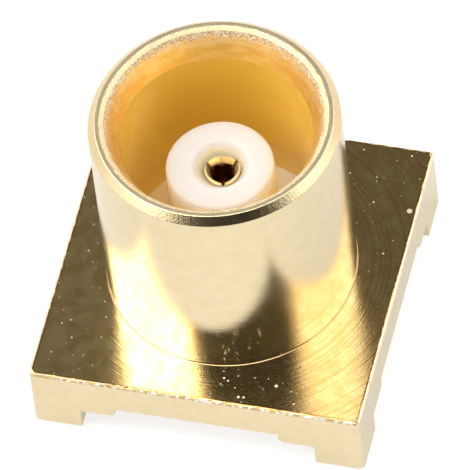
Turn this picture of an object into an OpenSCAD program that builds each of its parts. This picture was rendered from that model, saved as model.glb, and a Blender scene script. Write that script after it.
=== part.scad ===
// Surface-mount coaxial jack: a square flange on four stepped corner feet, a
// round barrel with a snap socket, a plastic insulator and a slotted socket
// contact. The board is at z = 0 and the barrel points up along +Z.

/* [Flange] */
// Side of the square flange
flange_side = 6.35; // [5.9:0.05:8]
// Thickness of the flange over the open cross between the feet
flange_thick = 0.75; // [0.6:0.05:2]
// Radius of the four upright corners
corner_r = 0.12; // [0.05:0.01:0.3]
// Bevel along the top edges of the flange
edge_bevel = 0.05; // [0.02:0.01:0.12]

/* [Feet] */
// Side of each square foot, measured in from the flange's side
foot_side = 0.93; // [0.6:0.01:1.1]
// Height of the step above the board
foot_height = 0.55; // [0.3:0.05:1.5]
// Width of the step between a foot and the open cross
step_width = 0.68; // [0.3:0.02:0.8]
// Height from the step to the open cross
step_height = 0.22; // [0.1:0.02:0.5]
// Rounding of the step's lower edge
step_edge_r = 0.12; // [0.03:0.01:0.2]
// Cutter radius in the root between foot and step
root_r = 0.06; // [0.02:0.01:0.15]
// Bevel round the sole of each foot
sole_bevel = 0.06; // [0.02:0.01:0.12]

/* [Barrel] */
// Outside diameter of the barrel
barrel_d = 4.7; // [4.6:0.05:5.4]
// Height of the rim above the flange
barrel_height = 4.57; // [4.3:0.01:6]
// Bevel on the outside of the rim
rim_bevel = 0.14; // [0.04:0.01:0.18]
// Fillet where the barrel meets the flange
barrel_fillet = 0.04; // [0.02:0.01:0.12]

/* [Socket] */
// Diameter of the lead-in cone at the rim
lead_in_d = 4.14; // [3.9:0.02:4.2]
// Depth of the lead-in cone
lead_in_depth = 0.56; // [0.3:0.02:0.9]
// Edge break between the lead-in cone and the rim
mouth_break = 0.05; // [0.02:0.01:0.08]
// Diameter of the bore that takes the plug
bore_d = 3.6; // [3.4:0.02:3.7]
// Depth below the rim where the bore ends and the groove starts
bore_depth = 3.05; // [2.4:0.05:3.3]
// Diameter of the snap groove
groove_d = 3.84; // [3.74:0.02:4.1]
// Depth below the rim of the socket's floor
floor_depth = 3.95; // [3.6:0.05:4.2]
// Thickness of the shelf between the socket's floor and the insulator's bead
shelf_thick = 0.37; // [0.2:0.01:0.6]

/* [Insulator] */
// Diameter of the insulator's bead, under the socket's floor
bead_d = 2.6; // [2.3:0.05:2.9]
// Diameter of the insulator's nose, inside the socket
nose_d = 2.02; // [1.7:0.02:2.2]
// Depth of the nose's face below the rim
face_depth = 1.43; // [1:0.02:2.2]
// Rounding of the nose's edges
nose_edge_r = 0.08; // [0.03:0.01:0.15]
// Diameter of the hole that leaves the tines room to open
tine_hole_d = 0.94; // [0.9:0.02:1.2]

/* [Contact] */
// Outside diameter of the contact's stem
stem_d = 0.86; // [0.78:0.02:0.88]
// Wall of the contact's socket
socket_wall = 0.16; // [0.12:0.01:0.2]
// How far the tines are turned and bored back from the stem's wall
tine_relief = 0.02; // [0.015:0.005:0.03]
// Length of the tines
tine_length = 1.2; // [0.9:0.05:1.4]
// Number of tines
tine_count = 3; // [2:1:4]
// Direction of the first slot, in degrees
slot_angle = 46; // [0:1:119]
// Width of the slots before the tines are closed in
slot_w = 0.2; // [0.19:0.01:0.26]
// How far each tine is closed in at the mouth
close_in = 0.08; // [0.02:0.01:0.09]
// Depth of the contact's mouth below the insulator's face
mouth_depth = 0.16; // [0:0.02:0.4]
// Depth of the funnel in the mouth
funnel_depth = 0.14; // [0.06:0.02:0.24]
// Bevel on the outside of the tines' tips
tip_bevel = 0.03; // [0.02:0.005:0.04]
// Lip left between that bevel and the funnel
tip_lip = 0.015; // [0.01:0.005:0.03]
// Depth of the socket below the roots of the tines
socket_extra = 0.3; // [0.1:0.05:0.6]
// Point angle of the drill that bores the socket, in degrees
drill_angle = 118; // [90:2:140]
// Diameter of the collar that stops the contact in the insulator
collar_d = 1.2; // [1:0.05:1.5]
// Height of the collar
collar_height = 0.4; // [0.2:0.05:0.5]
// Diameter of the solder tail
tail_d = 0.8; // [0.5:0.05:0.9]
// Bevel of the tail's end
tail_bevel = 0.06; // [0.02:0.01:0.15]

/* [Clearances] */
// Radial clearance of the bead in the shell
bead_clear = 0.01; // [0.005:0.005:0.05]
// Radial clearance of the nose in the shell's floor
nose_clear = 0.02; // [0.01:0.005:0.1]
// Radial clearance of the collar in the bead
collar_clear = 0.01; // [0.005:0.005:0.05]
// Radial clearance of the stem in the insulator
stem_clear = 0.015; // [0.005:0.005:0.03]

/* [Hidden] */
$fn = 96;
gold = [0.93, 0.82, 0.58];
ptfe = [0.94, 0.92, 0.89];
past = 1;
half_side = flange_side / 2;
foot_in = half_side - foot_side;
step_in = foot_in - step_width;
step_z = foot_height;
under_z = step_z + step_height;
flange_z = under_z + flange_thick;
rim_z = flange_z + barrel_height;
floor_z = rim_z - floor_depth;
groove_z = rim_z - bore_depth;
lip_z = rim_z - lead_in_depth;
face_z = rim_z - face_depth;
seat_z = floor_z - shelf_thick;
collar_z = under_z + collar_height;
mouth_z = face_z - mouth_depth;
root_z = mouth_z - tine_length;
socket_r = stem_d / 2 - socket_wall;
tine_sink = 2 * tine_relief;
stem_hole_r = stem_d / 2 + stem_clear;
closing_angle = asin(close_in / tine_length);

// Points of an arc about (cx, cy), from angle a to angle b
function arc(cx, cy, r, a, b, steps = 6) =
    [for (i = [0:steps]) [cx + r * cos(a + (b - a) * i / steps), cy + r * sin(a + (b - a) * i / steps)]];

// Left half of the milled channel between two feet, in x and z
function channel_side() = concat(
    [[-foot_in - sole_bevel, -past], [-foot_in - sole_bevel, 0], [-foot_in, sole_bevel]],
    arc(-foot_in + root_r, step_z - root_r, root_r, 180, 90),
    arc(-step_in - step_edge_r, step_z + step_edge_r, step_edge_r, -90, 0),
    [[-step_in, under_z]]
);

// The whole channel, its right half mirrored from its left one
module channel() {
    left = channel_side();
    right = [for (i = [len(left) - 1:-1:0]) [-left[i][0], left[i][1]]];
    rotate([90, 0, 0])
        linear_extrude(height = flange_side + 2 * past, center = true)
            polygon(concat(left, right));
}

// Square bar with round upright corners, from the board to the flange's top
module bar() {
    flat = flange_side - 2 * corner_r;
    centre = half_side - corner_r;
    translate([-half_side, -flat / 2, 0]) cube([flange_side, flat, flange_z]);
    translate([-flat / 2, -half_side, 0]) cube([flat, flange_side, flange_z]);
    for (x = [-centre, centre], y = [-centre, centre])
        translate([x, y, 0]) cylinder(r = corner_r, h = flange_z);
}

// A 45-degree cut along one edge of the bar, bevel wide at height z
module edge_cut(bevel, z) {
    width = bevel * sqrt(2);
    translate([0, -half_side, z])
        rotate([45, 0, 0])
            cube([flange_side + 2 * past, width, width], center = true);
}

// Solid of revolution outside the socket: the barrel with its fillet and bevel
module barrel() {
    r = barrel_d / 2;
    rotate_extrude()
        polygon(concat(
            [[0, under_z], [r + barrel_fillet, under_z]],
            arc(r + barrel_fillet, flange_z + barrel_fillet, barrel_fillet, 270, 180, 4),
            [[r, rim_z - rim_bevel], [r - rim_bevel, rim_z], [0, rim_z]]
        ));
}

// Void inside the shell: lead-in cone, bore, snap groove, floor and bead seat
module shell_void() {
    mouth_r = lead_in_d / 2;
    bore_r = bore_d / 2;
    groove_r = groove_d / 2;
    nose_r = nose_d / 2 + nose_clear;
    bead_r = bead_d / 2 + bead_clear;
    undercut = groove_r - bore_r;
    cone_r = mouth_r - mouth_break * (mouth_r - bore_r) / lead_in_depth;
    rotate_extrude()
        polygon([
            [0, -past], [bead_r, -past], [bead_r, seat_z], [nose_r, seat_z], [nose_r, floor_z],
            [groove_r, floor_z], [groove_r, groove_z - undercut], [bore_r, groove_z],
            [bore_r, lip_z], [cone_r, rim_z - mouth_break], [mouth_r + mouth_break, rim_z],
            [mouth_r + mouth_break, rim_z + past], [0, rim_z + past]
        ]);
}

// One-piece turned and milled outer conductor, gold plated
module shell() {
    color(gold)
        difference() {
            union() {
                bar();
                barrel();
            }
            channel();
            rotate([0, 0, 90]) channel();
            for (turn = [0:90:270]) {
                rotate([0, 0, turn]) edge_cut(edge_bevel, flange_z);
                rotate([0, 0, turn]) edge_cut(sole_bevel, 0);
            }
            shell_void();
        }
}

// Turned insulator: a bead in the shell and a nose that stands up in the socket
module insulator() {
    nose_r = nose_d / 2;
    hole_r = tine_hole_d / 2;
    collar_r = collar_d / 2 + collar_clear;
    e = nose_edge_r;
    color(ptfe)
        rotate_extrude()
            polygon(concat(
                [[collar_r, under_z], [bead_d / 2, under_z], [bead_d / 2, seat_z], [nose_r, seat_z]],
                arc(nose_r - e, face_z - e, e, 0, 90),
                arc(hole_r + e, face_z - e, e, 90, 180),
                [[hole_r, root_z], [stem_hole_r, root_z], [stem_hole_r, collar_z], [collar_r, collar_z]]
            ));
}

// Tube that the tines are cut from, with a funnel in its mouth
module tine_tube() {
    r = stem_d / 2 - tine_relief;
    bore_r = socket_r + tine_relief;
    rotate_extrude()
        polygon([
            [bore_r, root_z - tine_sink], [r, root_z - tine_sink], [r, mouth_z - tip_bevel],
            [r - tip_bevel, mouth_z], [r - tip_bevel - tip_lip, mouth_z], [bore_r, mouth_z - funnel_depth]
        ]);
}

// Sector of the tube between two slots, its middle on +X
module tine_sector() {
    half = 180 / tine_count;
    apex = slot_w / 2 / sin(half);
    reach = stem_d;
    translate([0, 0, root_z - past])
        linear_extrude(height = tine_length + 2 * past)
            polygon([
                [apex, 0], [apex + reach * cos(half), -reach * sin(half)], [apex + reach, -reach * sin(half)],
                [apex + reach, reach * sin(half)], [apex + reach * cos(half), reach * sin(half)]
            ]);
}

// One tine, bent in about the middle of its wall at the root
module tine() {
    hinge_r = stem_d / 2 - socket_wall / 2;
    translate([hinge_r, 0, root_z])
        rotate([0, -closing_angle, 0])
            translate([-hinge_r, 0, -root_z])
                intersection() {
                    tine_tube();
                    tine_sector();
                }
}

// Turned centre contact: solder tail, collar, stem and a slotted, closed-in socket
module contact() {
    r = stem_d / 2;
    tail_r = tail_d / 2;
    collar_r = collar_d / 2;
    socket_z = root_z - socket_extra;
    point_z = socket_z - socket_r / tan(drill_angle / 2);
    color(gold)
        union() {
            rotate_extrude()
                polygon([
                    [0, 0], [tail_r - tail_bevel, 0], [tail_r, tail_bevel], [tail_r, under_z],
                    [collar_r, under_z], [collar_r, collar_z], [r, collar_z], [r, root_z],
                    [socket_r, root_z], [socket_r, socket_z], [0, point_z]
                ]);
            for (i = [0:tine_count - 1])
                rotate([0, 0, slot_angle + 180 / tine_count + 360 / tine_count * i]) tine();
        }
}

shell();
insulator();
contact();
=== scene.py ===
import math
import bmesh
import bpy
import numpy as np
from mathutils import Matrix, Vector


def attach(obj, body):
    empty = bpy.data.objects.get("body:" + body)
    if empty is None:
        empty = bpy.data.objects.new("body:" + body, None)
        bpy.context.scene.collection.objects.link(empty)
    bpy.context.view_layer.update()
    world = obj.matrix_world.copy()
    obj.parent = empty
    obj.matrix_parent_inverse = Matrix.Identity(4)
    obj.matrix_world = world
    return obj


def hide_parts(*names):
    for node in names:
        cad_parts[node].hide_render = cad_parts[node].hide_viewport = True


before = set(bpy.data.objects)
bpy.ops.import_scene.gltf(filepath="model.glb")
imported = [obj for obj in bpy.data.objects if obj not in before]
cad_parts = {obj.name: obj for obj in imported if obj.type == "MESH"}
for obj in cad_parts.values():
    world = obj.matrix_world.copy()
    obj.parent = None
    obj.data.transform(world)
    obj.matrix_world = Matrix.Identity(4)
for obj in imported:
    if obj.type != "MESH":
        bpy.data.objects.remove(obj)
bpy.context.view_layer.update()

# The shell: the outer conductor, one square brass bar that is turned to a barrel with
# a socket in it and cross-milled underneath into four stepped feet, then gold plated.
# Everything of metal from the feet's soles to the rim is this one piece.
MM = 0.001
HALF_SIDE = 3.175
CORNER_R = 0.12
EDGE_BEVEL = 0.04
FOOT_SIDE = 0.93
FOOT_IN = HALF_SIDE - FOOT_SIDE
FOOT_ROOT_R = 0.06
SOLE_BEVEL = 0.06
STEP_SIDE = 0.68
STEP_IN = FOOT_IN - STEP_SIDE
STEP_EDGE_R = 0.12
STEP_Z = 0.55
UNDER_Z = 0.77
FLANGE_Z = 1.52
RIM_Z = 6.09
BARREL_R = 2.35
BARREL_FOOT_R = 0.018
RIM_BEVEL = 0.14
LEAD_IN_R = 2.07
LEAD_IN_DEPTH = 0.56
LIP_Z = RIM_Z - LEAD_IN_DEPTH
BORE_R = 1.8
MOUTH_BREAK = 0.05
CONE_R = LEAD_IN_R - MOUTH_BREAK * (LEAD_IN_R - BORE_R) / LEAD_IN_DEPTH
GROOVE_DEPTH = 3.05
GROOVE_Z = RIM_Z - GROOVE_DEPTH
GROOVE_R = 1.92
GROOVE_RAMP = 0.12
FLOOR_DEPTH = 3.95
FLOOR_Z = RIM_Z - FLOOR_DEPTH
SHELF = 0.37
SHELF_R = 1.03
SEAT_Z = FLOOR_Z - SHELF
BEAD_BORE_R = 1.31
TURNED_EDGE_R = 0.012
TURNS = 288


def arc(cx, cz, r, start, end, steps=6):
    """Points of an arc in the plane of a profile: centre plus r times (cos a, sin a)."""
    a = np.radians(np.linspace(start, end, steps + 1))
    return np.stack([cx + r * np.cos(a), cz + r * np.sin(a)], axis=-1)


def profile(*parts):
    """One run of (r, z) points from single points and arcs, in the order given."""
    return np.concatenate([np.atleast_2d(part) for part in parts])


def softened(points, r, steps=3):
    """The run with each inner corner cut back by r and bridged by a parabola,
    (1-t)^2 a + 2t(1-t) corner + t^2 b, where a and b lie r (or 0.3 of the leg) away.
    One more point on each leg, half as far again, keeps the flat or straight part true."""
    points = np.asarray(points, float)
    corner, before, after = points[1:-1], points[:-2], points[2:]
    to_a, to_b = before - corner, after - corner
    len_a = np.linalg.norm(to_a, axis=1, keepdims=True)
    len_b = np.linalg.norm(to_b, axis=1, keepdims=True)
    reach_a, reach_b = np.minimum(r, 0.3 * len_a), np.minimum(r, 0.3 * len_b)
    a, b = corner + to_a / len_a * reach_a, corner + to_b / len_b * reach_b
    far_a, far_b = corner + to_a / len_a * reach_a * 1.5, corner + to_b / len_b * reach_b * 1.5
    t = np.linspace(0, 1, steps + 1)[None, :, None]
    bent = (1 - t) ** 2 * a[:, None] + 2 * t * (1 - t) * corner[:, None] + t ** 2 * b[:, None]
    bent = np.concatenate([far_a[:, None], bent, far_b[:, None]], axis=1)
    return np.concatenate([points[:1], bent.reshape(-1, 2), points[-1:]])


def revolved(run, turns=TURNS):
    """Each (r, z) point of the run carried round the Z axis: (r cos a, r sin a, z).
    Returns points and quads; a run that goes up outside faces outwards."""
    a = np.linspace(0, 2 * np.pi, turns, endpoint=False)
    r, z = run[:, :1], run[:, 1:]
    points = np.stack([r * np.cos(a), r * np.sin(a), z + 0 * a], axis=-1).reshape(-1, 3)
    i, j = np.meshgrid(np.arange(len(run) - 1), np.arange(turns), indexing="ij")
    k = (j + 1) % turns
    quads = np.stack([i * turns + j, i * turns + k, (i + 1) * turns + k, (i + 1) * turns + j], axis=-1)
    return points, quads.reshape(-1, 4)


def zipped(outer, inner):
    """Triangles between two loops about the Z axis, both anticlockwise and each sorted by
    its angle: every edge takes the last point of the other loop that isn't ahead of its end."""
    turn = 2 * np.pi
    a = np.arctan2(outer[:, 1], outer[:, 0]) % turn
    b = np.arctan2(inner[:, 1], inner[:, 0]) % turn
    outer, a = outer[np.argsort(a)], np.sort(a)
    inner, b = inner[np.argsort(b)], np.sort(b)
    n, m = len(a), len(b)
    i, j = np.arange(n), np.arange(m)
    a_end = np.append(a[1:], a[0] + turn)
    b_end = np.append(b[1:], b[0] + turn)
    a_mate = (np.searchsorted(np.append(b, b[0] + turn), a_end, side="right") - 1) % m + n
    b_mate = (np.searchsorted(np.append(a, a[0] + turn), b_end, side="left") - 1) % n
    tris = np.concatenate([np.stack([i, (i + 1) % n, a_mate], axis=-1),
                           np.stack([j + n, b_mate, (j + 1) % m + n], axis=-1)])
    return np.concatenate([outer, inner]), tris


def strip(lower, upper):
    """Quads between two closed loops with as many points each, outwards if anticlockwise."""
    n = len(lower)
    i = np.arange(n)
    k = (i + 1) % n
    return np.concatenate([lower, upper]), np.stack([i, k, k + n, i + n], axis=-1)


def sheet_faces(rows, columns):
    """Quads of a rows by columns grid of points, facing along row cross column."""
    i, j = np.meshgrid(np.arange(rows - 1), np.arange(columns - 1), indexing="ij")
    first = i * columns + j
    return np.stack([first, first + columns, first + columns + 1, first + 1], axis=-1).reshape(-1, 4)


def made(name, patches, sharp_deg=28):
    """A mesh object from patches of points, in millimetres, and faces. Points that coincide
    are merged, and edges sharper than sharp_deg stay sharp."""
    mesh = bpy.data.meshes.new(name)
    points, faces, start = [], [], 0
    for patch_points, patch_faces in patches:
        points.append(patch_points)
        faces.extend((patch_faces + start).tolist())
        start += len(patch_points)
    mesh.from_pydata((np.concatenate(points) * MM).tolist(), [], faces)
    bm = bmesh.new()
    bm.from_mesh(mesh)
    bmesh.ops.remove_doubles(bm, verts=bm.verts, dist=1e-8)
    bmesh.ops.dissolve_degenerate(bm, edges=bm.edges, dist=1e-9)
    bm.to_mesh(mesh)
    bm.free()
    mesh.shade_smooth()
    mesh.set_sharp_from_angle(angle=math.radians(sharp_deg))
    piece = bpy.data.objects.new(name, mesh)
    bpy.context.collection.objects.link(piece)
    return piece


def channel_height(u):
    """Height of the milled channel at distance u from its middle: the cross, a rounded
    step, the step, a small root radius and the foot's wall with its sole bevel. Upright
    walls lean by a hair, so that each distance has one height."""
    lean = 0.002
    run = profile((0, UNDER_Z), (STEP_IN - lean, UNDER_Z),
                  arc(STEP_IN + STEP_EDGE_R, STEP_Z + STEP_EDGE_R, STEP_EDGE_R, 180, 270),
                  arc(FOOT_IN - FOOT_ROOT_R, STEP_Z - FOOT_ROOT_R, FOOT_ROOT_R, 90, 0),
                  (FOOT_IN + lean, SOLE_BEVEL), (FOOT_IN + SOLE_BEVEL, 0),
                  (HALF_SIDE - SOLE_BEVEL, 0), (HALF_SIDE, SOLE_BEVEL))
    return np.interp(u, run[:, 0], run[:, 1]), run[:, 0]


def rounded_corner(x, y):
    """Grid points in the corner squares drawn onto quarter discs: the offset from the
    corner's centre is scaled by its larger part over its length."""
    c = HALF_SIDE - CORNER_R
    dx, dy = np.maximum(np.abs(x) - c, 0), np.maximum(np.abs(y) - c, 0)
    length = np.hypot(dx, dy)
    scale = np.where((dx > 0) & (dy > 0), np.maximum(dx, dy) / np.maximum(length, 1e-9), 1)
    return (np.sign(x) * (np.minimum(np.abs(x), c) + dx * scale),
            np.sign(y) * (np.minimum(np.abs(y), c) + dy * scale))


# The underside is a grid with the larger of two channel heights at each point. Its lines lie
# on the channel's own corners and just beside them, and at even turns as seen from the
# middle. The square round the bead is left open, for the turned part to join.
RING_HALF = 1.45
BESIDE = 0.03
channel_lines = channel_height(0.0)[1]
turn_lines = HALF_SIDE * np.tan(np.radians(np.linspace(0, 45, 41)))
corner_lines = np.linspace(HALF_SIDE - CORNER_R, HALF_SIDE, 7)
beside_lines = [STEP_IN - BESIDE, STEP_IN + STEP_EDGE_R + BESIDE, FOOT_IN - FOOT_ROOT_R - BESIDE,
                FOOT_IN + SOLE_BEVEL + BESIDE, HALF_SIDE - SOLE_BEVEL - BESIDE]
half = np.concatenate([channel_lines, turn_lines, corner_lines, beside_lines, [RING_HALF]])
half = np.unique(np.round(half, 6))
half = half[np.append(True, np.diff(half) > 1e-4)]
u = np.concatenate([-half[:0:-1], half])
height = channel_height(np.abs(u))[0]
grid_x, grid_y = np.meshgrid(u, u, indexing="ij")
grid_z = np.maximum(height[:, None], height[None, :])
under_points = np.stack([*rounded_corner(grid_x, grid_y), grid_z], axis=-1)
n = len(u)
cells = sheet_faces(n, n).reshape(n - 1, n - 1, 4)[..., ::-1]
inside = np.abs((u[1:] + u[:-1]) / 2) < RING_HALF
under = (under_points.reshape(-1, 3), cells[~(inside[:, None] & inside[None, :])])


def loop_of(points, low, high):
    """The edge of the square block of grid points from low to high, anticlockwise."""
    return np.concatenate([points[low:high, low], points[high, low:high],
                           points[high:low:-1, high], points[low, high:low:-1]])


outline = loop_of(under_points, 0, n - 1)
first = int(np.argmin(np.abs(u + RING_HALF)))
hole = loop_of(under_points, first, n - 1 - first)
side_run = profile((HALF_SIDE, 0), (HALF_SIDE, FLANGE_Z - EDGE_BEVEL), (HALF_SIDE - EDGE_BEVEL, FLANGE_Z),
                   (0, FLANGE_Z))

# The side faces follow the outline up. Along the top edge each point goes in by a random
# share of its distance from the middle, as the burr that the milling left there.
BURR = 0.005
BURR_LEAST, BURR_MOST = -0.0004, 0.009
BURR_RISE = 0.02
rng = np.random.default_rng(7)
burr = np.clip(rng.normal(size=len(outline))[:, None] * BURR, BURR_LEAST, BURR_MOST)
levels = [outline]
for r, level in softened(side_run, EDGE_BEVEL / 2)[1:-1]:
    on_bevel = r > HALF_SIDE - EDGE_BEVEL - TURNED_EDGE_R
    share = on_bevel * float(np.clip((level - FLANGE_Z + EDGE_BEVEL) / BURR_RISE, 0, 1))
    levels.append(outline * [1, 1, 0] * (r / HALF_SIDE) * (1 - share * burr) + [0, 0, level])
sides = [strip(low, high) for low, high in zip(levels[:-1], levels[1:])]

# The turned part is one run: up the barrel, over the rim, down the cone and the bore, out
# into the snap groove, and in over the floor and the shelf to the bead's seat.
turned = profile((BARREL_R + 0.1, FLANGE_Z),
                 arc(BARREL_R + BARREL_FOOT_R, FLANGE_Z + BARREL_FOOT_R, BARREL_FOOT_R, 270, 180),
                 (BARREL_R, RIM_Z - RIM_BEVEL), (BARREL_R - RIM_BEVEL, RIM_Z),
                 (LEAD_IN_R + MOUTH_BREAK, RIM_Z), (CONE_R, RIM_Z - MOUTH_BREAK),
                 (BORE_R, LIP_Z), (BORE_R, GROOVE_Z),
                 (GROOVE_R, GROOVE_Z - GROOVE_RAMP), (GROOVE_R, FLOOR_Z),
                 (SHELF_R, FLOOR_Z), (SHELF_R, SEAT_Z),
                 (BEAD_BORE_R, SEAT_Z), (BEAD_BORE_R, UNDER_Z))
turned = softened(turned, TURNED_EDGE_R)
turned_points, turned_quads = revolved(turned)

# The mouth's edge break is worn: its radius wavers a little from turn to turn.
WAVER = 0.010
at_mouth = ((turned[:, 0] > CONE_R - 0.03) & (turned[:, 0] < LEAD_IN_R + MOUTH_BREAK + 0.03)
            & (turned[:, 1] > RIM_Z - MOUTH_BREAK - 0.03))
waver = np.convolve(rng.normal(size=TURNS + 2), [0.3, 0.5, 0.3], "valid") * WAVER
waver = (1 + at_mouth[:, None] * waver[None, :] / LEAD_IN_R).reshape(-1, 1)
turned_points = turned_points * np.concatenate([waver, waver, np.ones_like(waver)], axis=1)
top_face = zipped(levels[-1], turned_points[:TURNS])
ring_points, ring_tris = zipped(hole, turned_points[-TURNS:])
patches = sides + [(turned_points, turned_quads), top_face, under, (ring_points, ring_tris[:, ::-1])]
shell = made("shell_body", patches)


class Wire:
    """A value in a material, or a colour or vector. Arithmetic on values adds Math nodes."""

    def __init__(self, finish, socket):
        self.finish, self.socket = finish, socket

    def math(self, operation, *others):
        """A Math node on this value and the others, in that order."""
        return self.finish.add("Math", {"operation": operation}, dict(enumerate((self,) + others)))

    def __add__(self, other):
        return self.math("ADD", other)

    def __radd__(self, other):
        return self.math("ADD", other)

    def __sub__(self, other):
        return self.math("SUBTRACT", other)

    def __rsub__(self, other):
        return (self * -1).math("ADD", other)

    def __mul__(self, other):
        return self.math("MULTIPLY", other)

    def __rmul__(self, other):
        return self.math("MULTIPLY", other)

    def __gt__(self, other):
        return self.math("GREATER_THAN", other)

    def __lt__(self, other):
        return self.math("LESS_THAN", other)

    def __pow__(self, other):
        return self.math("POWER", other)

    def __abs__(self):
        return self.math("ABSOLUTE")

    def between(self, low, high):
        """0 below low, 1 above high and a smooth step from one to the other."""
        return self.finish.add("MapRange", {"interpolation_type": "SMOOTHSTEP"},
                               {"Value": self, "From Min": low, "From Max": high})


class Finish:
    """A node tree that is filled by add: a node's type, its settings, its inputs, its output."""

    def __init__(self, tree):
        self.tree = tree

    def add(self, kind, settings=None, inputs=None, output=0):
        """One node of this kind. Its settings are set first, then each input gets its value
        or its link, and the chosen output comes back as a Wire."""
        node = self.tree.nodes.new("ShaderNode" + kind)
        for key, value in (settings or {}).items():
            setattr(node, key, value)
        for key, value in (inputs or {}).items():
            if isinstance(value, Wire):
                self.tree.links.new(value.socket, node.inputs[key])
            else:
                node.inputs[key].default_value = value
        return Wire(self, node.outputs[output]) if node.outputs else node

    def blend(self, factor, first, second):
        """A colour mixed from first to second by factor."""
        return self.add("Mix", {"data_type": "RGBA"}, {0: factor, 6: first, 7: second}, 2)

    def place(self):
        """Object coordinates in millimetres, as a vector and as x, y and z."""
        spot = self.add("TexCoord", output="Object")
        vector = self.add("VectorMath", {"operation": "SCALE"}, {0: spot, "Scale": 1 / MM})
        return vector, [self.add("SeparateXYZ", None, {0: vector}, axis) for axis in range(3)]

    def noise(self, vector, scale, detail=2.0, rough=0.5):
        """Cloudy noise round 0.5, with scale lumps to the millimetre."""
        sizes = {"Vector": vector, "Scale": scale, "Detail": detail, "Roughness": rough}
        return self.add("TexNoise", None, sizes)

    def ripple(self, value, scale, detail=2.0):
        """Noise along one value, for marks that a tool leaves as it feeds."""
        sizes = {"W": value, "Scale": scale, "Detail": detail}
        return self.add("TexNoise", {"noise_dimensions": "1D"}, sizes)


def new_finish(name):
    """An empty material, and the Finish that fills its node tree."""
    material = bpy.data.materials.new(name)
    material.use_nodes = True
    material.node_tree.nodes.clear()
    return material, Finish(material.node_tree)


def wear(piece, material):
    """The piece gets this material and no other."""
    piece.data.materials.clear()
    piece.data.materials.append(material)


BARREL_GOLD = (0.935, 0.785, 0.52, 1)
FLANGE_GOLD = (0.97, 0.81, 0.49, 1)
DULL_GOLD = (0.86, 0.67, 0.34, 1)
HAZE_GOLD = (1.0, 0.80, 0.36, 1)
ARC_SHADE_BROWN = (0.74, 0.50, 0.18, 1)
CONE_SHADE_ORANGE = (0.95, 0.64, 0.18, 1)
CONE_SHEEN_GOLD = (1.0, 0.77, 0.32, 1)
CONE_FROST_GLINT = (1.0, 0.93, 0.74, 1)
WORN_DARK = (0.68, 0.50, 0.25, 1)
WORN_LIGHT = (1.0, 0.96, 0.88, 1)
RIM_GOLD = (0.95, 0.76, 0.45, 1)
BRIM_BROWN = (0.74, 0.48, 0.18, 1)
EDGE_LIT_PALE = (0.97, 0.84, 0.62, 1)
EDGE_SHADE_BROWN = (0.84, 0.60, 0.28, 1)
PAINTED_SPARKLE_WHITE = (1.0, 0.97, 0.90, 1)
BORE_PAINTED_GLOW = (1.0, 0.66, 0.10, 1)
FLOOR_SHADE_GOLD = (1.0, 0.84, 0.46, 1)
FLOOR_LIT_CREAM = (1.0, 0.97, 0.86, 1)
FOOT_COPPER = (0.72, 0.45, 0.24, 1)
SPECK_PALE = (0.90, 0.82, 0.62, 1)
gold_paint, gold = new_finish("gold_plate_turned")
spot, (x, y, z) = gold.place()
radius = (x * x + y * y) ** 0.5
angle = y.math("ARCTAN2", x)

# The zones of the shell, each 1 inside and 0 outside, with a few films to spare.
FILM = 0.001
BRIM = 0.04
in_cone = (radius < CONE_R + 5 * FILM) * (z > LIP_Z) * (z < RIM_Z - 2 * FILM)
in_bore = (radius < GROOVE_R + 10 * FILM) * (z < LIP_Z) * (z > FLOOR_Z + 20 * FILM)
on_floor = (radius < GROOVE_R + 10 * FILM) * (z < FLOOR_Z + 20 * FILM) * (z > SEAT_Z)
on_rim = (radius > CONE_R + 5 * FILM) * (z > RIM_Z - RIM_BEVEL)
on_flat = on_rim * (z > RIM_Z - 3 * FILM)
on_barrel = radius > LEAD_IN_R
on_top = (z < FLANGE_Z + FILM) * (z > FLANGE_Z - EDGE_BEVEL - 15 * FILM)
reach = abs(x).math("MAXIMUM", abs(y))
edge = on_top * (reach > HALF_SIDE - EDGE_BEVEL - 4 * FILM)
brim = on_top * (reach > HALF_SIDE - EDGE_BEVEL - BRIM) - edge
along_x = abs(y) > abs(x)
at_foot = (z > FLANGE_Z + FILM) * (radius > BARREL_R + FILM) * (radius < BARREL_R + BARREL_FOOT_R - 2 * FILM)

# The relief: rings from facing on all that is level, the finer feed of turning on the
# walls, and the plating's grain, which is coarser on the cone, the rim and the edge.
RELIEF_DEPTH = 0.004
normal = gold.add("NewGeometry", output="Normal")
level = abs(gold.add("SeparateXYZ", None, {0: normal}, 2)) > 0.7
marks = level * gold.ripple(radius, 26.0, 3.0) * 1.3 + (1 - level) * gold.ripple(z, 24.0, 3.0) * 0.9
grain = gold.noise(spot, 24.0, 4.0, 0.6)
coarse = gold.noise(spot, 30.0, 3.0, 0.6)
roughened = in_cone * 0.6 + edge * 2.5 + on_rim * 1.1 + on_top * 0.1
relief = marks * 0.22 + grain * 0.26 + roughened * coarse * 1.2
bump = gold.add("Bump", None, {"Height": relief, "Distance": RELIEF_DEPTH * MM, "Strength": 1.0})

# The specks on the flange's top: the larger ones at their places, as x, y and size in
# millimetres, and fine ones at random, in some of the cells of a cell pattern.
CHIPS = ((3.01, 1.74, 0.052), (2.74, 0.70, 0.024), (1.46, -2.60, 0.030), (0.82, -2.97, 0.026),
         (0.92, -2.96, 0.023), (0.46, -2.60, 0.021), (0.55, -2.65, 0.019), (1.87, -2.94, 0.018),
         (1.71, 2.40, 0.018), (2.30, 1.82, 0.019), (2.77, 2.99, 0.018), (-2.82, -1.93, 0.015),
         (-2.66, -1.83, 0.015), (-2.56, -2.22, 0.015))
CELLS_PER_MM = 7.0
chips = gold.noise(spot, 15.0, 3.0, 0.6).between(0.69, 0.74)
for chip_x, chip_y, chip_r in CHIPS:
    off_x, off_y = x - chip_x, y - chip_y
    chip = off_x * off_x + off_y * off_y < chip_r * chip_r * (0.5 + coarse)
    chips = chip.math("MAXIMUM", chips)
cell = gold.add("TexVoronoi", None, {"Vector": spot, "Scale": CELLS_PER_MM})
chance = gold.add("TexVoronoi", None, {"Vector": spot, "Scale": CELLS_PER_MM}, "Color")
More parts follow.
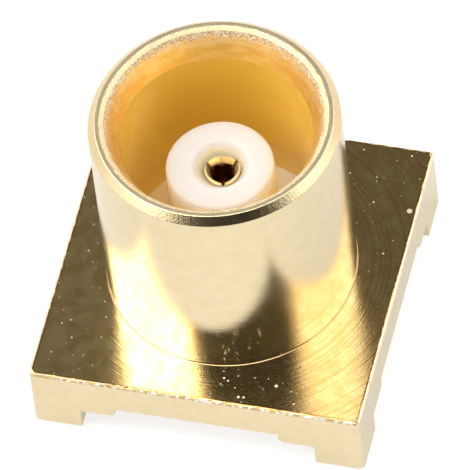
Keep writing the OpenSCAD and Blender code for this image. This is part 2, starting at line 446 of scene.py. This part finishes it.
chance = gold.add("SeparateColor", None, {0: chance}, 0)
specks = on_top * ((cell < 0.02 + 0.08 * chance) * (chance > 0.82)).math("MAXIMUM", chips)

# The wear, and some painted light: a ragged band where plugs rub at the mouth, frost on the cone below it
# with painted glints in its colour, a haze on the flange's left, brown arcs of painted shade along the
# facing tool's marks, and painted glints along the flange's edge. Patches that differ in polish and colour
# go over all of it.
worn = radius + gold.noise(spot, 13.0, 4.0, 0.7) * 0.26
broken = ((worn > CONE_R + 0.09) * (radius < LEAD_IN_R + MOUTH_BREAK + 12 * FILM)
          * (z > RIM_Z - MOUTH_BREAK - 0.3))
swirl = gold.add("CombineXYZ", None, {0: radius * 16.0, 1: angle * 40.0, 2: z * 44.0})
glint = gold.noise(swirl, 1.0, 3.0, 0.7).between(0.42, 0.68)
# The frost near the rim is partly real, rougher and less metal, and partly painted glints in its pale
# colour.
frost_and_glints = glint.math("MAXIMUM", coarse.between(0.52, 0.6)) * z.between(RIM_Z - 0.42, RIM_Z - 0.06)
patch = gold.noise(spot, 1.4, 3.0)
blotch = gold.noise(spot, 3.5, 3.0, 0.6)
haze = on_top * (0.35 + 0.65 * blotch.between(0.3, 0.8)) * (-1.1 - x).between(0.0, 0.6)
dull = (1 - blotch.between(0.35, 0.65)) * (0.25 + 0.75 * on_top)
# Painted shade: brown arcs along the facing tool's marks on the flange's right part.
arc_shade = gold.ripple(radius, 13.0, 4.0).between(0.50, 0.60) * x.between(0.9, 1.7) * grain.between(0.35, 0.55)
# Painted glints: white spots along the flange's edge, most of them on its front and back.
painted_sparkle = edge * gold.noise(spot, 13.0, 2.0, 0.6).between(0.52, 0.56) * (0.2 + 0.8 * along_x)

# The colour, zone over zone.
# Painted shade and sheen: the cone is mottled from deep orange to gold.
fan = gold.add("CombineXYZ", None, {0: x * 2.2, 1: y * 2.2, 2: z * 9.0})
cone_light_mottle = gold.noise(fan, 1.0, 3.0, 0.6).between(0.40, 0.62)
cone_tint = gold.blend(frost_and_glints, gold.blend(cone_light_mottle, CONE_SHADE_ORANGE, CONE_SHEEN_GOLD), CONE_FROST_GLINT)
tint = gold.blend(on_top, BARREL_GOLD, FLANGE_GOLD)
tint = gold.blend(dull, tint, DULL_GOLD)
tint = gold.blend(haze * 0.5, tint, HAZE_GOLD)
tint = gold.blend(on_top * arc_shade * 0.6, tint, ARC_SHADE_BROWN)
tint = gold.blend(in_cone, tint, cone_tint)
tint = gold.blend(broken, tint, gold.blend(coarse.between(0.46, 0.56), WORN_DARK, WORN_LIGHT))
tint = gold.blend(on_rim - on_flat, tint, RIM_GOLD)
tint = gold.blend(brim, tint, BRIM_BROWN)
# Painted light on the flange's edge: pale on the left and right sides, brown as shade on the front and back.
tint = gold.blend(edge, tint, gold.blend(along_x, EDGE_LIT_PALE, EDGE_SHADE_BROWN))
tint = gold.blend(painted_sparkle, tint, PAINTED_SPARKLE_WHITE)
# Painted light: the bore is a rich orange, as the light that bounces between its gold walls.
tint = gold.blend(in_bore, tint, BORE_PAINTED_GLOW)
# Painted light and shade: the socket's floor is cream on its right, where light falls, and gold on its left,
# in shade.
tint = gold.blend(on_floor, tint, gold.blend(x.between(-0.6, 0.9), FLOOR_SHADE_GOLD, FLOOR_LIT_CREAM))
tint = gold.blend(at_foot, tint, FOOT_COPPER)
tint = gold.blend(specks, tint, SPECK_PALE)

# The polish, and how far each zone is bare metal: thin or dirty plating is less so. The bore and the
# socket's floor are mostly not metal only so that they look brighter, as painted light.
rough = (0.09 + 0.04 * patch + 0.03 * on_top + in_cone * (0.20 + 0.15 * glint) + 0.25 * on_floor
         + 0.14 * on_flat + 0.08 * on_rim * coarse + 0.2 * (edge + painted_sparkle) + 0.45 * specks
         + 0.35 * broken + 0.06 * on_barrel * (z - FLANGE_Z).between(0.4, 2.4))
metal = (1 - 0.92 * in_bore - 0.8 * on_floor - in_cone * (1 - broken) * (0.2 + 0.3 * frost_and_glints)
         - 0.4 * broken - 0.5 * painted_sparkle - 0.3 * specks - 0.045 * haze)
skin = gold.add("BsdfPrincipled", None,
                {"Base Color": tint, "Metallic": metal, "Roughness": rough, "Normal": bump})
gold.add("OutputMaterial", None, {"Surface": skin})
wear(shell, gold_paint)
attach(shell, "root")
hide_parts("shell")

# The insulator: one turned piece of PTFE, a bead that is pressed into the shell from
# below and a nose that stands up in the socket, bored through for the contact.
NOSE_R = 1.01
NOSE_EDGE = 0.08
FACE_Z = RIM_Z - 1.43
BEAD_R = 1.3
DISH_R = 0.58
DISH = 0.20
LIP_R = 0.35
LIP_EDGE = 0.03
LIP_UNDER_Z = FACE_Z - DISH - LIP_EDGE - 0.1
TINE_HOLE_R = 0.47
STEM_HOLE_R = 0.445
COLLAR_HOLE_R = 0.61
COLLAR_Z = UNDER_Z + 0.4
MOUTH_Z = FACE_Z - 0.16
ROOT_Z = MOUTH_Z - 1.2
t = np.linspace(0, 1, 13)
dish = np.stack([DISH_R - (DISH_R - LIP_R) * t, FACE_Z - DISH * (3 * t ** 2 - 2 * t ** 3)], axis=-1)
white_run = profile((COLLAR_HOLE_R, UNDER_Z), (BEAD_R, UNDER_Z), (BEAD_R, SEAT_Z), (NOSE_R, SEAT_Z),
                    arc(NOSE_R - NOSE_EDGE, FACE_Z - NOSE_EDGE, NOSE_EDGE, 0, 90),
                    dish, (LIP_R, FACE_Z - DISH - LIP_EDGE), (TINE_HOLE_R, LIP_UNDER_Z),
                    (TINE_HOLE_R, ROOT_Z), (STEM_HOLE_R, ROOT_Z), (STEM_HOLE_R, COLLAR_Z),
                    (COLLAR_HOLE_R, COLLAR_Z), (COLLAR_HOLE_R, UNDER_Z))
white_points, white_quads = revolved(softened(white_run, TURNED_EDGE_R), 192)

# The contact's socket stands a little to one side at its mouth. The hole's lip follows it,
# all of it at the lip and less and less out to the dish's brim.
LEAN = 0.035
LEAN_WAY = np.array([1, 1 / 3, 0])
near = np.clip((DISH_R - np.hypot(white_points[:, 0], white_points[:, 1])) / (DISH_R - LIP_R), 0, 1)
near *= np.clip((white_points[:, 2] - LIP_UNDER_Z) / 0.08, 0, 1)
white_points = white_points + near[:, None] * LEAN * LEAN_WAY
insulator = made("insulator_bead", [(white_points, white_quads)])

PTFE_GREY = (0.69, 0.70, 0.735, 1)
PTFE_WHITE = (0.72, 0.735, 0.775, 1)
DISH_GOLD_GLOW = (1.0, 0.78, 0.48, 1)
NOSE_LIT_CREAM = (0.98, 0.96, 0.93, 1)
ptfe_paint, ptfe = new_finish("ptfe_turned")
spot, (x, y, z) = ptfe.place()
radius = (x * x + y * y) ** 0.5
lathe = ptfe.ripple(radius, 12.0, 3.0) + ptfe.noise(spot, 5.0, 4.0) * 0.8
bump = ptfe.add("Bump", None, {"Height": lathe, "Distance": 0.006 * MM, "Strength": 1.0})
# Painted light: the dish turns amber towards the contact, as the gold's glow on the PTFE.
in_dish = (0.52 - radius).between(0.0, 0.14)
# Painted light: the nose's side is paler, as the light that comes through the PTFE from its top.
on_nose = (radius > NOSE_R - 0.03) * (z < FACE_Z - NOSE_EDGE)
tint = ptfe.blend(ptfe.noise(spot, 2.2, 3.0), PTFE_GREY, PTFE_WHITE)
tint = ptfe.blend(in_dish, tint, DISH_GOLD_GLOW)
tint = ptfe.blend(on_nose, tint, NOSE_LIT_CREAM)
skin = ptfe.add("BsdfPrincipled", {"subsurface_method": "RANDOM_WALK"},
                {"Base Color": tint, "Roughness": 0.45, "Normal": bump, "Subsurface Weight": 1.0,
                 "Subsurface Radius": (1.0, 0.9, 0.8), "Subsurface Scale": 0.9 * MM})
ptfe.add("OutputMaterial", None, {"Surface": skin})
wear(insulator, ptfe_paint)
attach(insulator, "root")
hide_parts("insulator")

# The contact: one turned piece of gold plated copper alloy, with the solder tail, the
# collar that stops it in the bead, the stem and a drilled socket. Three slots divide
# the socket into tines, which are bent in towards each other at the mouth.
STEM_R = 0.43
WALL = 0.16
SOCKET_R = STEM_R - WALL
TAIL_R = 0.4
TAIL_BEVEL = 0.06
COLLAR_R = 0.6
POCKET_Z = ROOT_Z - 0.3
DRILL_DEG = 118.0
DRILL_POINT_Z = POCKET_Z - SOCKET_R / math.tan(math.radians(DRILL_DEG / 2))
TINES = 3
TINE_RELIEF = 0.02
SLOT_DEG = 46.0
SLOT_W = 0.2
CLOSE_IN = 0.08
FUNNEL = 0.14
TIP_BEVEL = 0.03
TIP_LIP = 0.015
stem_run = profile((0, 0), (TAIL_R - TAIL_BEVEL, 0), (TAIL_R, TAIL_BEVEL), (TAIL_R, UNDER_Z),
                   (COLLAR_R, UNDER_Z), (COLLAR_R, COLLAR_Z), (STEM_R, COLLAR_Z), (STEM_R, ROOT_Z),
                   (SOCKET_R, ROOT_Z), (SOCKET_R, POCKET_Z), (0, DRILL_POINT_Z))
patches = [revolved(softened(stem_run, TURNED_EDGE_R), 128)]


def tine_block(turn_deg, rows=40, layers=6, columns=28):
    """A sector of the socket's wall: height by thickness by angle, between an inner and an
    outer run, as wide as the slots leave it, tilted in about its root and turned into place.
    The closed socket stands a little to one side of its hole, by LEAN at the mouth.
    Returns the six outer sides of that block."""
    inner_r, outer_r = SOCKET_R + TINE_RELIEF, STEM_R - TINE_RELIEF
    base = ROOT_Z - 2 * TINE_RELIEF
    tip_r = outer_r - TIP_BEVEL
    inner = softened([(inner_r, base), (inner_r, MOUTH_Z - FUNNEL), (tip_r - TIP_LIP, MOUTH_Z)], 0.03)
    outer = softened([(outer_r, base), (outer_r, MOUTH_Z - TIP_BEVEL), (tip_r, MOUTH_Z)], 0.015)
    wall = np.linspace(0, 0.8, rows // 4, endpoint=False)
    s = np.concatenate([wall, np.linspace(0.8, 1, rows - rows // 4)])
    run_z = base + s * (MOUTH_Z - base)
    run_in = np.interp(run_z, inner[:, 1], inner[:, 0])[:, None]
    run_out = np.interp(run_z, outer[:, 1], outer[:, 0])[:, None]
    w = np.linspace(0, 1, layers)[None, :]
    r = (run_in + (run_out - run_in) * w)[:, :, None]
    half_turn = np.pi / TINES - np.arcsin(SLOT_W / 2 / r)
    a = np.linspace(-1, 1, columns)[None, None, :] * half_turn
    out, across = r * np.cos(a), r * np.sin(a)
    up = np.broadcast_to(run_z[:, None, None], out.shape)
    hinge = STEM_R - WALL / 2
    tilt = math.asin(CLOSE_IN / (MOUTH_Z - ROOT_Z))
    d_out, d_up = out - hinge, up - ROOT_Z
    out = hinge + d_out * math.cos(tilt) - d_up * math.sin(tilt)
    up = ROOT_Z + d_out * math.sin(tilt) + d_up * math.cos(tilt)
    turn = math.radians(turn_deg)
    lean = LEAN * np.clip((up - ROOT_Z) / (MOUTH_Z - ROOT_Z), 0, 1)
    block = np.stack([out * math.cos(turn) - across * math.sin(turn),
                      out * math.sin(turn) + across * math.cos(turn), up], axis=-1)
    block = block + lean[..., None] * LEAN_WAY
    sides = [(block[0], True), (block[-1], False), (block[:, 0], False), (block[:, -1], True),
             (block[:, :, 0], True), (block[:, :, -1], False)]
    return [(side.reshape(-1, 3), sheet_faces(*side.shape[:2])[:, ::-1 if flip else 1])
            for side, flip in sides]


for i in range(TINES):
    patches += tine_block(SLOT_DEG + 180 / TINES + 360 / TINES * i)
contact = made("contact_socket", patches, sharp_deg=35)

PIN_GOLD = (0.98, 0.76, 0.38, 1)
PIN_PALE = (1.0, 0.82, 0.48, 1)
POCKET_SHADE_DARK = (0.26, 0.12, 0.04, 1)
pin_paint, pin = new_finish("gold_plate_contact")
spot, (x, y, z) = pin.place()
radius = (x * x + y * y) ** 0.5
relief = pin.noise(spot, 16.0, 3.0) + pin.ripple(z, 20.0, 2.0) * 0.5
bump = pin.add("Bump", None, {"Height": relief, "Distance": 0.003 * MM, "Strength": 1.0})
patch = pin.noise(spot, 5.0, 2.0)
# Painted shade: the socket goes dark below its funnel, where light hardly reaches.
pocket_shade = (radius < 0.3) * (z > POCKET_Z - 0.2) * (MOUTH_Z - FUNNEL - z).between(0.0, 0.12)
tint = pin.blend(pocket_shade, pin.blend(patch, PIN_GOLD, PIN_PALE), POCKET_SHADE_DARK)
metal = 1 - 0.25 * (z > MOUTH_Z - FUNNEL)
rough = 0.18 + 0.08 * patch
skin = pin.add("BsdfPrincipled", None,
               {"Base Color": tint, "Metallic": metal, "Roughness": rough, "Normal": bump})
pin.add("OutputMaterial", None, {"Surface": skin})
wear(contact, pin_paint)
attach(contact, "root")
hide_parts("contact")

# The floor: a plain white sheet under the feet, which goes on past every view of it. It is
# clear from below, and to the camera and to metal it adds enough light to look white.
FLOOR_SIDE = 4.0
SHEET_GREY = (0.35, 0.35, 0.35, 1)
GLOW_TO_CAMERA = 0.76
GLOW_IN_METAL = 0.47
side = FLOOR_SIDE / 2
floor_mesh = bpy.data.meshes.new("floor")
floor_mesh.from_pydata([(-side, -side, 0), (side, -side, 0), (side, side, 0), (-side, side, 0)], [],
                       [(0, 1, 2, 3)])
floor = bpy.data.objects.new("floor", floor_mesh)
bpy.context.collection.objects.link(floor)
floor_paint, sheet = new_finish("white_sheet")
to_camera = sheet.add("LightPath", output="Is Camera Ray")
to_metal = sheet.add("LightPath", output="Is Glossy Ray")
through = sheet.add("LightPath", output="Is Transmission Ray")
seen = to_camera * GLOW_TO_CAMERA + to_metal.math("MAXIMUM", through) * GLOW_IN_METAL
matt = sheet.add("BsdfDiffuse", None, {"Color": SHEET_GREY})
glow = sheet.add("Emission", None, {"Color": (1, 1, 1, 1), "Strength": seen})
lit = sheet.add("AddShader", None, {0: matt, 1: glow})
from_below = sheet.add("NewGeometry", output="Backfacing")
clear = sheet.add("BsdfTransparent")
surface = sheet.add("MixShader", None, {0: from_below, 1: lit, 2: clear})
sheet.add("OutputMaterial", None, {"Surface": surface})
wear(floor, floor_paint)

# The light: a dim room with wide soft panels, painted on the world by direction. The gold
# mirrors them, so each is where the metal needs its light, and the room between is dark.
scene = bpy.context.scene
world = bpy.data.worlds.new("studio")
scene.world = world
world.use_nodes = True
world.node_tree.nodes.clear()
room = Finish(world.node_tree)
towards = room.add("TexCoord", output="Generated")
east, south, rise = [room.add("SeparateXYZ", None, {0: towards}, axis) for axis in range(3)]
heading = east.math("ARCTAN2", south * -1)


def panel(az_from, az_to, el_from, el_to, soft=6):
    """1 inside a patch of the room between two headings and two heights, in degrees, and 0
    outside it, over a soft edge. Heading 0 is the object's front and 90 is its right."""
    low, high = math.sin(math.radians(el_from)), math.sin(math.radians(el_to))
    fade, fade_up = math.radians(soft), 0.06
    start, end = math.radians(az_from), math.radians(az_to)
    after_start = heading.between(start - fade, start + fade)
    after_end = heading.between(end - fade, end + fade)
    over_low = rise.between(low - fade_up, low + fade_up)
    over_high = rise.between(high - fade_up, high + fade_up)
    return after_start * (1 - after_end) * over_low * (1 - over_high)


# A strong panel at the left with a stronger middle, a plain one at the right, and one
# overhead that is brightest in front of the zenith. Behind the camera the room stays dark.
# Low down, a pale band goes all round, and the last few degrees of it are the backdrop.
AHEAD = (0.33, -0.94, 0)
LEFT_LIGHT = 1.2
LEFT_MIDDLE_LIGHT = 3.0
RIGHT_LIGHT = 1.6
ZENITH_LIGHT = 0.9
OVERHEAD_LIGHT = 5.0
BAND_LIGHT = 0.35
BACKDROP_LIGHT = 0.6
ROOM_LIGHT = 0.115
LEAST_LIGHT = 0.006
WARM = (1.0, 0.86, 0.62, 1)
WHITE = (1.0, 0.99, 0.97, 1)
left_side = panel(-128, -27, 12, 72, 4) * LEFT_LIGHT + panel(-122, -30, 38, 68, 7) * LEFT_MIDDLE_LIGHT
right_side = panel(72, 160, 13, 66, 8) * RIGHT_LIGHT
ahead = room.add("VectorMath", {"operation": "DOT_PRODUCT"}, {0: towards, 1: AHEAD}, "Value")
overhead = rise.between(0.91, 0.945) * ahead.between(0.02, 0.17) * OVERHEAD_LIGHT
above = rise.between(0.91, 0.95) * ZENITH_LIGHT + overhead
camera_side = panel(-25, 70, 20, 66, 4)
band = (1 - rise.between(0.0, 0.35)) * (1 - camera_side) * BAND_LIGHT
horizon = band + (1 - rise.between(0.05, 0.14)) * BACKDROP_LIGHT
shine = left_side + right_side + above + horizon
strength = shine + ROOM_LIGHT * (1 - camera_side) + LEAST_LIGHT
wall = room.blend(shine.between(0.0, 0.5), WARM, WHITE)
backdrop = room.add("Background", None, {"Color": wall, "Strength": strength})
room.add("OutputWorld", None, {"Surface": backdrop})

# The camera: a long lens, looking down at the front and the right side, a little rolled.
# Its place and angles put the rim, the foot and the flange's corners where they are seen.
CAMERA_AZIMUTH = math.radians(19.34)
CAMERA_ELEVATION = math.radians(54.28)
CAMERA_ROLL = math.radians(-7.32)
CAMERA_DISTANCE = 228.4
FOCAL_PX = 12206.0
FRAME_PX = 470.0
OFFSET_RIGHT = 0.050
OFFSET_UP = 0.506
back = Vector((math.sin(CAMERA_AZIMUTH) * math.cos(CAMERA_ELEVATION),
               -math.cos(CAMERA_AZIMUTH) * math.cos(CAMERA_ELEVATION), math.sin(CAMERA_ELEVATION)))
level_right = Vector((math.cos(CAMERA_AZIMUTH), math.sin(CAMERA_AZIMUTH), 0))
level_up = back.cross(level_right)
right = level_right * math.cos(CAMERA_ROLL) + level_up * math.sin(CAMERA_ROLL)
up = level_up * math.cos(CAMERA_ROLL) - level_right * math.sin(CAMERA_ROLL)
stand = Vector((0, 0, FLANGE_Z)) + back * CAMERA_DISTANCE + right * OFFSET_RIGHT + up * OFFSET_UP
lens = bpy.data.cameras.new("camera")
lens.sensor_width = 36.0
lens.lens = FOCAL_PX / FRAME_PX * lens.sensor_width
lens.clip_start = 0.005
lens.clip_end = 20.0
camera = bpy.data.objects.new("camera", lens)
bpy.context.collection.objects.link(camera)
camera.matrix_world = Matrix(((right.x, up.x, back.x, stand.x * MM), (right.y, up.y, back.y, stand.y * MM),
                              (right.z, up.z, back.z, stand.z * MM), (0, 0, 0, 1)))
scene.camera = camera
scene.view_settings.view_transform = "Standard"

bpy.context.view_layer.update()
